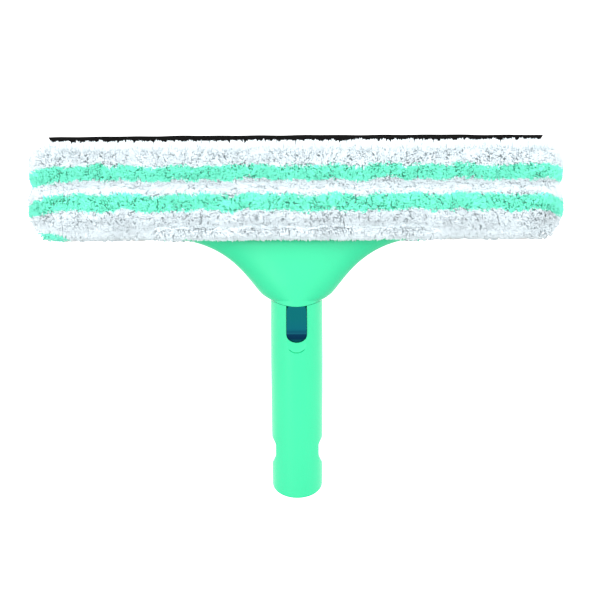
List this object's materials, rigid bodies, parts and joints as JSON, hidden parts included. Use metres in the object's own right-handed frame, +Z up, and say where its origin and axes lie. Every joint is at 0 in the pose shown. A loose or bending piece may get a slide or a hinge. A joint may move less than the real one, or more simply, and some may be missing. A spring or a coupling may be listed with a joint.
{
  "type": "window cleaning squeegee",
  "caption": "Short-handled window squeegee with a rubber blade, a striped fleece washing sleeve on its head, a flared neck and a release lever for an extension pole.",
  "frame": {"origin": "on the axis of the handle's pole socket, level with the lowest point of the handle", "axes": "+X along the blade, to the right seen from the front; +Y from the lever side to the back; +Z up the handle to the blade's lip"},
  "size_m": [0.3568, 0.044, 0.2412],
  "materials": {
    "turquoise_plastic": "moulded polypropylene, satin gloss",
    "teal_plastic": "moulded, fine matt grain",
    "white_plastic": "moulded, unpainted",
    "aluminium_rail": "extruded, satin anodised",
    "blade_rubber": "smooth black, square ground lip",
    "fleece": "deep shaggy pile, white with turquoise bands",
    "cover_fabric": "white woven backing and edging",
    "steel_fasteners": "plain zinc-plated steel"
  },
  "bodies": {
    "squeegee": {"blade_channel": "aluminium_rail", "cover_front_panel": "fleece", "cover_rear_panel": "fleece", "end_cap_left": "turquoise_plastic", "end_cap_right": "turquoise_plastic", "end_cap_screw_left": "steel_fasteners", "end_cap_screw_right": "steel_fasteners", "front_flap_left": "cover_fabric", "front_flap_right": "cover_fabric", "handle_tube": "turquoise_plastic", "head_frame": "turquoise_plastic", "latch_block": "white_plastic", "lever_pin": "steel_fasteners", "lever_spring": "steel_fasteners", "neck_front_shell": "turquoise_plastic", "neck_rear_shell": "turquoise_plastic", "neck_screw_left": "steel_fasteners", "neck_screw_lower": "steel_fasteners", "neck_screw_right": "steel_fasteners", "rear_flap_left": "cover_fabric", "rear_flap_right": "cover_fabric", "squeegee_blade": "blade_rubber", "stud_ball_left_1": "steel_fasteners", "stud_ball_left_2": "steel_fasteners", "stud_ball_right_1": "steel_fasteners", "stud_ball_right_2": "steel_fasteners", "stud_cap_left_1": "steel_fasteners", "stud_cap_left_2": "steel_fasteners", "stud_cap_right_1": "steel_fasteners", "stud_cap_right_2": "steel_fasteners", "top_binding_front": "cover_fabric", "top_binding_rear": "cover_fabric"},
    "lever": {"release_lever": "teal_plastic"}
  },
  "joints": [
    {"name": "lever_rock", "type": "hinge", "parent": "squeegee", "child": "lever", "pos_m": [0, -0.0075, 0.1145], "axis": [-1, 0, 0], "range_deg": [0, 15], "stiffness_Nm_per_rad": 0.05, "springref_deg": -20.05, "deforming": ["lever_spring"]}
  ]
}
